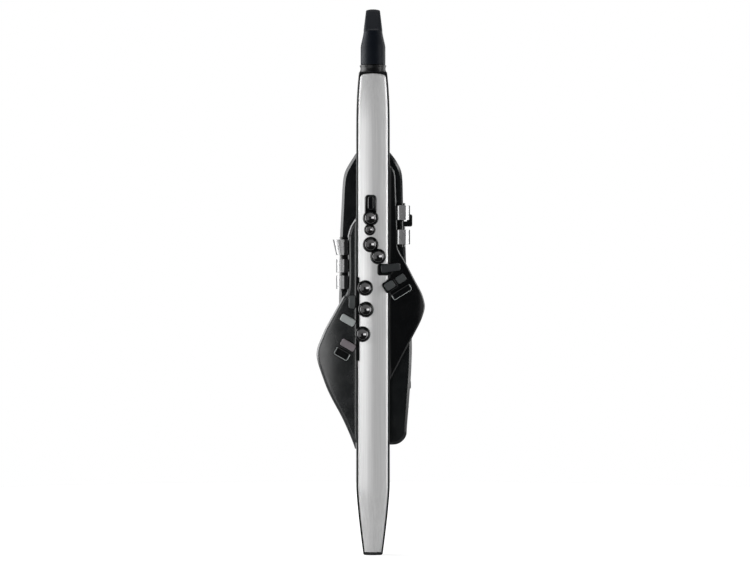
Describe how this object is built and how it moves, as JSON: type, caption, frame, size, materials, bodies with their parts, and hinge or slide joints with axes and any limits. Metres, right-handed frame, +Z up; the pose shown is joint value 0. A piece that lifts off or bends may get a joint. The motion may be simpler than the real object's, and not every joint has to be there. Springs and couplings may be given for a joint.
{
  "type": "digital wind controller",
  "caption": "Long straight electronic wind instrument with a brushed front panel, round finger keys, two flared key wings, side and palm keys, and thumb controls behind.",
  "frame": {"origin": "centre of the flat foot of the end cap, on the long body's axis", "axes": "+Z up the body to the mouthpiece, -Y out of the front panel with the finger keys, +X towards the left hand's wing"},
  "size_m": [0.1342, 0.0942, 0.6844],
  "materials": {
    "silver": "brushed along the length",
    "black_gloss": "polished",
    "graphite": "satin gloss",
    "black_matt": "satin",
    "housing": "satin",
    "key_metal": "polished",
    "dark_key": "satin",
    "grey_key": "satin",
    "chrome": "polished",
    "mouthpiece": "satin",
    "rubber": "matt",
    "board": "lacquered",
    "cell": "film sleeve",
    "glass": "clear over a dark display"
  },
  "bodies": {
    "instrument": {"front_panel": "silver", "end_cap": "black_gloss", "left_hand_wing": "black_gloss", "b_key_rim": "black_gloss", "a_key_rim": "black_gloss", "f_key_rim": "black_gloss", "e_key_rim": "black_gloss", "d_key_rim": "black_gloss", "right_hand_wing": "graphite", "spine_body": "black_matt", "neck_socket": "black_matt", "side_key_rod": "black_matt", "palm_key_rod": "black_matt", "output_jack": "black_matt", "thumb_hook": "black_matt", "rear_housing": "housing", "usb_port": "chrome", "strap_bracket": "chrome", "thumb_hook_screw": "chrome", "mouthpiece": "mouthpiece", "reed": "rubber", "breath_sensor": "rubber", "thumb_rest": "rubber", "key_board": "board", "main_board": "board", "battery_cells_left": "cell", "battery_cells_right": "cell", "display_window": "glass"},
    "front_f_key": {"front_f_key": "black_gloss"},
    "b_key": {"b_key": "key_metal"},
    "bis_key": {"bis_key": "key_metal"},
    "a_key": {"a_key": "key_metal"},
    "g_key": {"g_key": "key_metal"},
    "f_key": {"f_key": "key_metal"},
    "e_key": {"e_key": "key_metal"},
    "d_key": {"d_key": "key_metal"},
    "g_sharp_key": {"g_sharp_key": "dark_key"},
    "low_c_sharp_key": {"low_c_sharp_key": "grey_key"},
    "low_b_key": {"low_b_key": "grey_key"},
    "low_b_flat_key": {"low_b_flat_key": "black_gloss"},
    "side_f_sharp_key": {"side_f_sharp_key": "grey_key"},
    "e_flat_key": {"e_flat_key": "grey_key"},
    "low_c_key": {"low_c_key": "grey_key"},
    "low_a_key": {"low_a_key": "black_gloss"},
    "octave_up_key": {"octave_up_key": "grey_key"},
    "octave_down_key": {"octave_down_key": "grey_key"},
    "exit_button": {"exit_button": "grey_key"},
    "value_button": {"value_button": "grey_key"},
    "menu_button": {"menu_button": "grey_key"},
    "power_button": {"power_button": "grey_key"},
    "side_e_key": {"side_e_key": "chrome"},
    "side_c_key": {"side_c_key": "chrome"},
    "side_b_flat_key": {"side_b_flat_key": "chrome"},
    "palm_d_key": {"palm_d_key": "chrome"},
    "palm_e_flat_key": {"palm_e_flat_key": "black_gloss"},
    "palm_f_key": {"palm_f_key": "chrome"},
    "pitch_lever": {"pitch_lever": "dark_key"},
    "volume_knob": {"volume_knob": "black_gloss"},
    "strap_ring": {"strap_ring": "chrome"},
    "battery_door": {"battery_door": "housing"}
  },
  "joints": [
    {"name": "front_f_key_press", "type": "slide", "parent": "instrument", "child": "front_f_key", "axis": [0, 1, 0], "range_m": [0, 0.002], "stiffness_N_per_m": 120},
    {"name": "b_key_press", "type": "slide", "parent": "instrument", "child": "b_key", "axis": [0, 1, 0], "range_m": [0, 0.002], "stiffness_N_per_m": 120},
    {"name": "bis_key_press", "type": "slide", "parent": "instrument", "child": "bis_key", "axis": [0, 1, 0], "range_m": [0, 0.002], "stiffness_N_per_m": 120},
    {"name": "a_key_press", "type": "slide", "parent": "instrument", "child": "a_key", "axis": [0, 1, 0], "range_m": [0, 0.002], "stiffness_N_per_m": 120},
    {"name": "g_key_press", "type": "slide", "parent": "instrument", "child": "g_key", "axis": [0, 1, 0], "range_m": [0, 0.002], "stiffness_N_per_m": 120},
    {"name": "f_key_press", "type": "slide", "parent": "instrument", "child": "f_key", "axis": [0, 1, 0], "range_m": [0, 0.002], "stiffness_N_per_m": 120},
    {"name": "e_key_press", "type": "slide", "parent": "instrument", "child": "e_key", "axis": [0, 1, 0], "range_m": [0, 0.002], "stiffness_N_per_m": 120},
    {"name": "d_key_press", "type": "slide", "parent": "instrument", "child": "d_key", "axis": [0, 1, 0], "range_m": [0, 0.002], "stiffness_N_per_m": 120},
    {"name": "g_sharp_key_press", "type": "slide", "parent": "instrument", "child": "g_sharp_key", "axis": [0, 1, 0], "range_m": [0, 0.0018], "stiffness_N_per_m": 120},
    {"name": "low_c_sharp_key_press", "type": "slide", "parent": "instrument", "child": "low_c_sharp_key", "axis": [0, 1, 0], "range_m": [0, 0.0018], "stiffness_N_per_m": 120},
    {"name": "low_b_key_press", "type": "slide", "parent": "instrument", "child": "low_b_key", "axis": [0, 1, 0], "range_m": [0, 0.0018], "stiffness_N_per_m": 120},
    {"name": "low_b_flat_key_press", "type": "slide", "parent": "instrument", "child": "low_b_flat_key", "axis": [0, 1, 0], "range_m": [0, 0.0018], "stiffness_N_per_m": 120},
    {"name": "side_f_sharp_key_press", "type": "slide", "parent": "instrument", "child": "side_f_sharp_key", "axis": [0, 1, 0], "range_m": [0, 0.0018], "stiffness_N_per_m": 120},
    {"name": "e_flat_key_press", "type": "slide", "parent": "instrument", "child": "e_flat_key", "axis": [0, 1, 0], "range_m": [0, 0.0018], "stiffness_N_per_m": 120},
    {"name": "low_c_key_press", "type": "slide", "parent": "instrument", "child": "low_c_key", "axis": [0, 1, 0], "range_m": [0, 0.0018], "stiffness_N_per_m": 120},
    {"name": "low_a_key_press", "type": "slide", "parent": "instrument", "child": "low_a_key", "axis": [0, 1, 0], "range_m": [0, 0.0018], "stiffness_N_per_m": 120},
    {"name": "octave_up_key_press", "type": "slide", "parent": "instrument", "child": "octave_up_key", "axis": [0, -1, 0], "range_m": [0, 0.002], "stiffness_N_per_m": 120},
    {"name": "octave_down_key_press", "type": "slide", "parent": "instrument", "child": "octave_down_key", "axis": [0, -1, 0], "range_m": [0, 0.002], "stiffness_N_per_m": 120},
    {"name": "exit_button_press", "type": "slide", "parent": "instrument", "child": "exit_button", "axis": [0, -1, 0], "range_m": [0, 0.001], "stiffness_N_per_m": 200},
    {"name": "value_button_press", "type": "slide", "parent": "instrument", "child": "value_button", "axis": [0, -1, 0], "range_m": [0, 0.001], "stiffness_N_per_m": 200},
    {"name": "menu_button_press", "type": "slide", "parent": "instrument", "child": "menu_button", "axis": [0, -1, 0], "range_m": [0, 0.001], "stiffness_N_per_m": 200},
    {"name": "power_button_press", "type": "slide", "parent": "instrument", "child": "power_button", "axis": [0, -1, 0], "range_m": [0, 0.001], "stiffness_N_per_m": 200},
    {"name": "side_e_key_rock", "type": "hinge", "parent": "instrument", "child": "side_e_key", "pos_m": [-0.03918, -0.009, 0.365], "axis": [0, 0, -1], "range_deg": [0, 8], "stiffness_Nm_per_rad": 0.03},
    {"name": "side_c_key_rock", "type": "hinge", "parent": "instrument", "child": "side_c_key", "pos_m": [-0.03918, -0.009, 0.365], "axis": [0, 0, -1], "range_deg": [0, 8], "stiffness_Nm_per_rad": 0.03},
    {"name": "side_b_flat_key_rock", "type": "hinge", "parent": "instrument", "child": "side_b_flat_key", "pos_m": [-0.03918, -0.009, 0.365], "axis": [0, 0, -1], "range_deg": [0, 8], "stiffness_Nm_per_rad": 0.03},
    {"name": "palm_d_key_rock", "type": "hinge", "parent": "instrument", "child": "palm_d_key", "pos_m": [0.03772, -0.009, 0.415], "axis": [0, 0, 1], "range_deg": [0, 8], "stiffness_Nm_per_rad": 0.03},
    {"name": "palm_e_flat_key_rock", "type": "hinge", "parent": "instrument", "child": "palm_e_flat_key", "pos_m": [0.03772, -0.009, 0.415], "axis": [0, 0, 1], "range_deg": [0, 8], "stiffness_Nm_per_rad": 0.03},
    {"name": "palm_f_key_rock", "type": "hinge", "parent": "instrument", "child": "palm_f_key", "pos_m": [0.03772, -0.009, 0.415], "axis": [0, 0, 1], "range_deg": [0, 8], "stiffness_Nm_per_rad": 0.03},
    {"name": "pitch_lever_rock", "type": "hinge", "parent": "instrument", "child": "pitch_lever", "pos_m": [0.02, 0.0407, 0.411], "axis": [1, 0, 0], "range_deg": [-10, 10], "stiffness_Nm_per_rad": 0.03},
    {"name": "volume_knob_turn", "type": "hinge", "parent": "instrument", "child": "volume_knob", "pos_m": [0.0245, 0.038, 0.342], "axis": [0, 1, 0], "range_deg": [-135, 135]},
    {"name": "strap_ring_swing", "type": "hinge", "parent": "instrument", "child": "strap_ring", "pos_m": [0, 0.0435, 0.317], "axis": [1, 0, 0], "range_deg": [-8, 120]},
    {"name": "battery_door_open", "type": "hinge", "parent": "instrument", "child": "battery_door", "pos_m": [0, 0.038, 0.16], "axis": [-1, 0, 0], "range_deg": [0, 100]}
  ]
}
